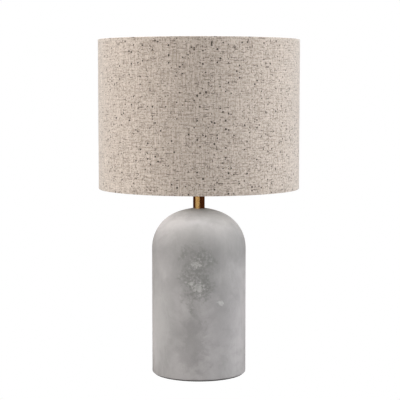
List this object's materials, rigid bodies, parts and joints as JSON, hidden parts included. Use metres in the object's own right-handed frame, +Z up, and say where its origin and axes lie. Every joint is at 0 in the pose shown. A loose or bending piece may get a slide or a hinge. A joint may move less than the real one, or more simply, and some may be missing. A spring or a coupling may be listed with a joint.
{
  "type": "table lamp",
  "caption": "Table lamp with a domed cast-stone cylinder base, a short brass neck and a straight linen drum shade held by screw rings on a turn-knob lampholder.",
  "frame": {"origin": "on the table, under the middle of the base", "axes": "+Z up along the lamp's axis, -Y to the front, +X towards the switch knob, +Y towards the cord outlet"},
  "size_m": [0.3, 0.3, 0.501],
  "materials": {
    "stone": "matte",
    "felt": "matte",
    "zinc_steel": "satin",
    "brass": "satin",
    "raw_brass": "satin",
    "black_nylon": "matte",
    "bakelite": "gloss",
    "porcelain": "gloss",
    "white_coat": "satin",
    "liner_film": "matte",
    "linen": "matte",
    "bulb_glass": "gloss",
    "nickel": "satin",
    "black_glass": "gloss",
    "phosphor": "matte"
  },
  "bodies": {
    "lamp_base": {"base_body": "stone", "base_felt": "felt", "bottom_plate": "zinc_steel", "pipe_washer": "zinc_steel", "pipe_lock_washer": "zinc_steel", "pipe_nut": "raw_brass", "threaded_pipe": "raw_brass", "neck_tube": "brass", "cord_bush": "black_nylon", "lampholder_cap": "brass", "cap_grub_screw": "zinc_steel", "lampholder_skirt": "brass", "lampholder_liner": "porcelain", "lampholder_core": "porcelain", "screw_shell": "raw_brass", "center_contact": "raw_brass", "terminal_screws": "zinc_steel", "switch_bush": "brass"},
    "knob": {"switch_shaft": "zinc_steel", "switch_rotor": "bakelite", "switch_knob": "bakelite"},
    "lower_ring": {"seat_ring": "brass"},
    "shade": {"fitter_ring": "white_coat", "shade_arms": "white_coat", "shade_bottom_wire": "white_coat", "shade_top_wire": "white_coat", "shade_liner": "liner_film", "shade_fabric": "linen", "shade_hem_top": "linen", "shade_hem_bottom": "linen"},
    "upper_ring": {"clamp_ring": "brass"},
    "bulb_foot": {"bulb_tip": "nickel"},
    "bulb": {"bulb_insulator": "black_glass", "bulb_cap": "nickel", "bulb_glass": "bulb_glass", "bulb_stem": "bulb_glass", "bulb_filaments": "phosphor"}
  },
  "joints": [
    {"name": "knob_turn", "type": "hinge", "parent": "lamp_base", "child": "knob", "pos_m": [0.03, 0, 0.319], "axis": [1, 0, 0], "continuous": true},
    {"name": "shade_turn", "type": "hinge", "parent": "lamp_base", "child": "lower_ring", "pos_m": [0, 0, 0.337], "axis": [0, 0, 1], "continuous": true},
    {"name": "shade_lift", "type": "slide", "parent": "lower_ring", "child": "shade", "axis": [0, 0, 1], "range_m": [0, 0.12]},
    {"name": "ring_turn", "type": "hinge", "parent": "shade", "child": "upper_ring", "pos_m": [0, 0, 0.339], "axis": [0, 0, 1], "continuous": true},
    {"name": "bulb_rise", "type": "slide", "parent": "lamp_base", "child": "bulb_foot", "axis": [0, 0, 1], "range_m": [0, 0.0182]},
    {"name": "bulb_turn", "type": "hinge", "parent": "bulb_foot", "child": "bulb", "pos_m": [0, 0, 0.35], "axis": [0, 0, 1], "range_deg": [0, 1800]}
  ],
  "couplings": [
    {"joint": "bulb_rise", "follows": "bulb_turn", "m_per_rad": 0.00057757}
  ]
}
